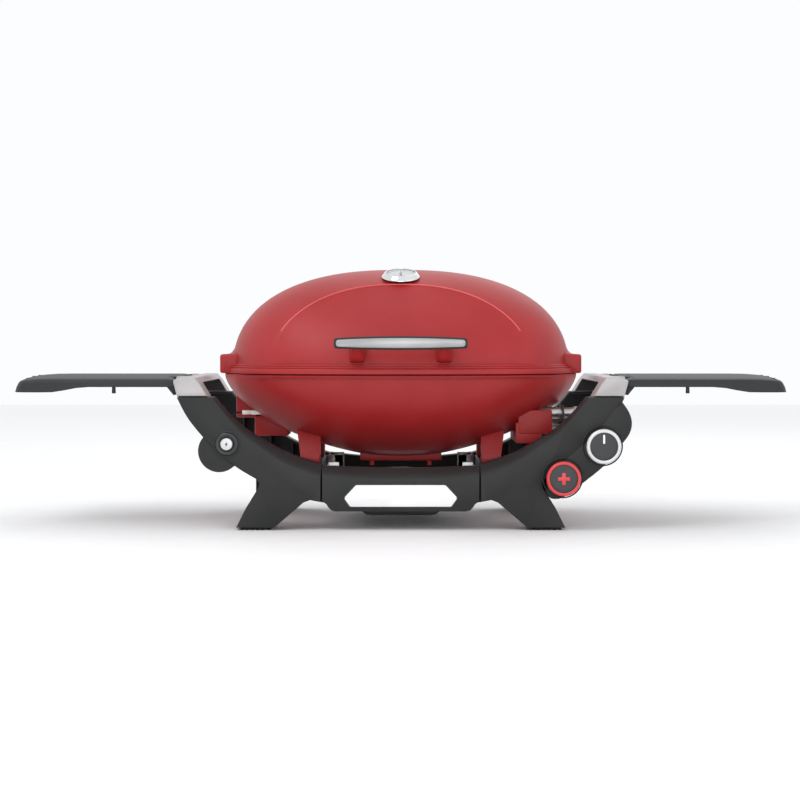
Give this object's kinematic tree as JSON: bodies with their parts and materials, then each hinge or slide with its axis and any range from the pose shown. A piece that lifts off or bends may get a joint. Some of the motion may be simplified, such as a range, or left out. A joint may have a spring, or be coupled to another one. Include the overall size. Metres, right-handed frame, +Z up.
{
  "type": "gas barbecue grill",
  "caption": "Low, wide gas barbecue: oval cast lid and cookbox on a moulded cradle with splayed feet, side tables that fold, control knobs, push igniter and a catch pan.",
  "frame": {"origin": "on the ground plane, under the centre of the whole grill's box with the tables out", "axes": "+X to the cook's right along the two tables, -Y towards the cook, +Z up"},
  "size_m": [1.3062, 0.5214, 0.4399],
  "materials": {
    "red_enamel": "semi-gloss red porcelain enamel on cast aluminium",
    "black_nylon": "fine-grained moulded black glass-filled nylon",
    "silver_paint": "satin silver paint",
    "bright_steel": "brushed",
    "plain_steel": "drawn and plated",
    "cast_iron": "matt black enamelled cast iron",
    "brass": "machined",
    "black_rubber": "matt",
    "white_ceramic": "glazed white",
    "silver_button": "satin light grey",
    "dial_face": "printed white",
    "clear_glass": "clear",
    "foil": "bright rolled foil",
    "gloss_black": "gloss black"
  },
  "bodies": {
    "cradle": {"cookbox": "red_enamel", "left_hinge_pin": "plain_steel", "right_hinge_pin": "plain_steel", "left_front_leg": "black_nylon", "right_front_leg": "black_nylon", "left_rear_leg": "black_nylon", "right_rear_leg": "black_nylon", "left_front_foot_pad": "black_rubber", "right_front_foot_pad": "black_rubber", "left_rear_foot_pad": "black_rubber", "right_rear_foot_pad": "black_rubber", "left_cross_rail": "black_nylon", "right_cross_rail": "black_nylon", "front_centre_panel": "black_nylon", "rear_centre_panel": "black_nylon", "nameplate": "bright_steel", "left_carry_bracket": "silver_paint", "right_carry_bracket": "silver_paint", "left_front_table_pin": "plain_steel", "left_rear_table_pin": "plain_steel", "right_front_table_pin": "plain_steel", "right_rear_table_pin": "plain_steel", "left_grate": "cast_iron", "right_grate": "cast_iron", "main_burner": "bright_steel", "centre_burner": "bright_steel", "burner_bracket": "plain_steel", "main_valve_body": "brass", "main_feed_tube": "plain_steel", "centre_valve_body": "brass", "centre_feed_tube": "plain_steel", "gas_manifold": "brass", "gas_inlet": "brass", "igniter_collar": "gloss_black", "igniter_module": "black_nylon", "igniter_cell": "plain_steel", "igniter_lead": "black_rubber", "igniter_electrode": "white_ceramic", "left_pan_rail": "plain_steel", "right_pan_rail": "plain_steel"},
    "lid": {"lid": "red_enamel", "lid_handle": "black_nylon", "handle_inlay": "bright_steel", "thermometer_housing": "bright_steel", "thermometer_dial": "dial_face", "thermometer_probe": "plain_steel", "thermometer_glass": "clear_glass"},
    "thermometer_pointer": {"thermometer_needle": "gloss_black"},
    "left_table": {"left_side_table": "black_nylon"},
    "right_table": {"right_side_table": "black_nylon"},
    "main_plug": {"main_valve_plug": "brass"},
    "main_control": {"main_knob": "gloss_black", "main_valve_stem": "plain_steel"},
    "centre_plug": {"centre_valve_plug": "brass"},
    "centre_control": {"centre_knob": "gloss_black", "centre_valve_stem": "plain_steel"},
    "igniter": {"igniter_button": "silver_button"},
    "catch_pan": {"drip_pan": "black_nylon", "foil_liner": "foil"}
  },
  "joints": [
    {"name": "lid_hinge", "type": "hinge", "parent": "cradle", "child": "lid", "pos_m": [0, 0.25175, 0.263], "axis": [-1, 0, 0], "range_deg": [0, 95]},
    {"name": "thermometer_pointer_turn", "type": "hinge", "parent": "lid", "child": "thermometer_pointer", "pos_m": [0, -0.07525, 0.4229], "axis": [0, 0.2924, -0.9563], "range_deg": [0, 270], "stiffness_Nm_per_rad": 0.0005},
    {"name": "left_table_fold", "type": "hinge", "parent": "cradle", "child": "left_table", "pos_m": [-0.3775, 0.01175, 0.25], "axis": [0, 1, 0], "range_deg": [0, 108]},
    {"name": "right_table_fold", "type": "hinge", "parent": "cradle", "child": "right_table", "pos_m": [0.3775, 0.01175, 0.25], "axis": [0, -1, 0], "range_deg": [0, 108]},
    {"name": "main_valve_turn", "type": "hinge", "parent": "cradle", "child": "main_plug", "pos_m": [0.334, -0.17825, 0.14], "axis": [0, -1, 0], "range_deg": [0, 225]},
    {"name": "main_knob_push", "type": "slide", "parent": "main_plug", "child": "main_control", "axis": [0, 1, 0], "range_m": [0, 0.004], "stiffness_N_per_m": 700},
    {"name": "centre_valve_turn", "type": "hinge", "parent": "cradle", "child": "centre_plug", "pos_m": [0.268, -0.17825, 0.087], "axis": [0, -1, 0], "range_deg": [0, 225]},
    {"name": "centre_knob_push", "type": "slide", "parent": "centre_plug", "child": "centre_control", "axis": [0, 1, 0], "range_m": [0, 0.004], "stiffness_N_per_m": 700},
    {"name": "igniter_push", "type": "slide", "parent": "cradle", "child": "igniter", "axis": [0, 1, 0], "range_m": [0, 0.004], "stiffness_N_per_m": 400},
    {"name": "catch_pan_slide", "type": "slide", "parent": "cradle", "child": "catch_pan", "axis": [0, 1, 0], "range_m": [0, 0.3]}
  ]
}
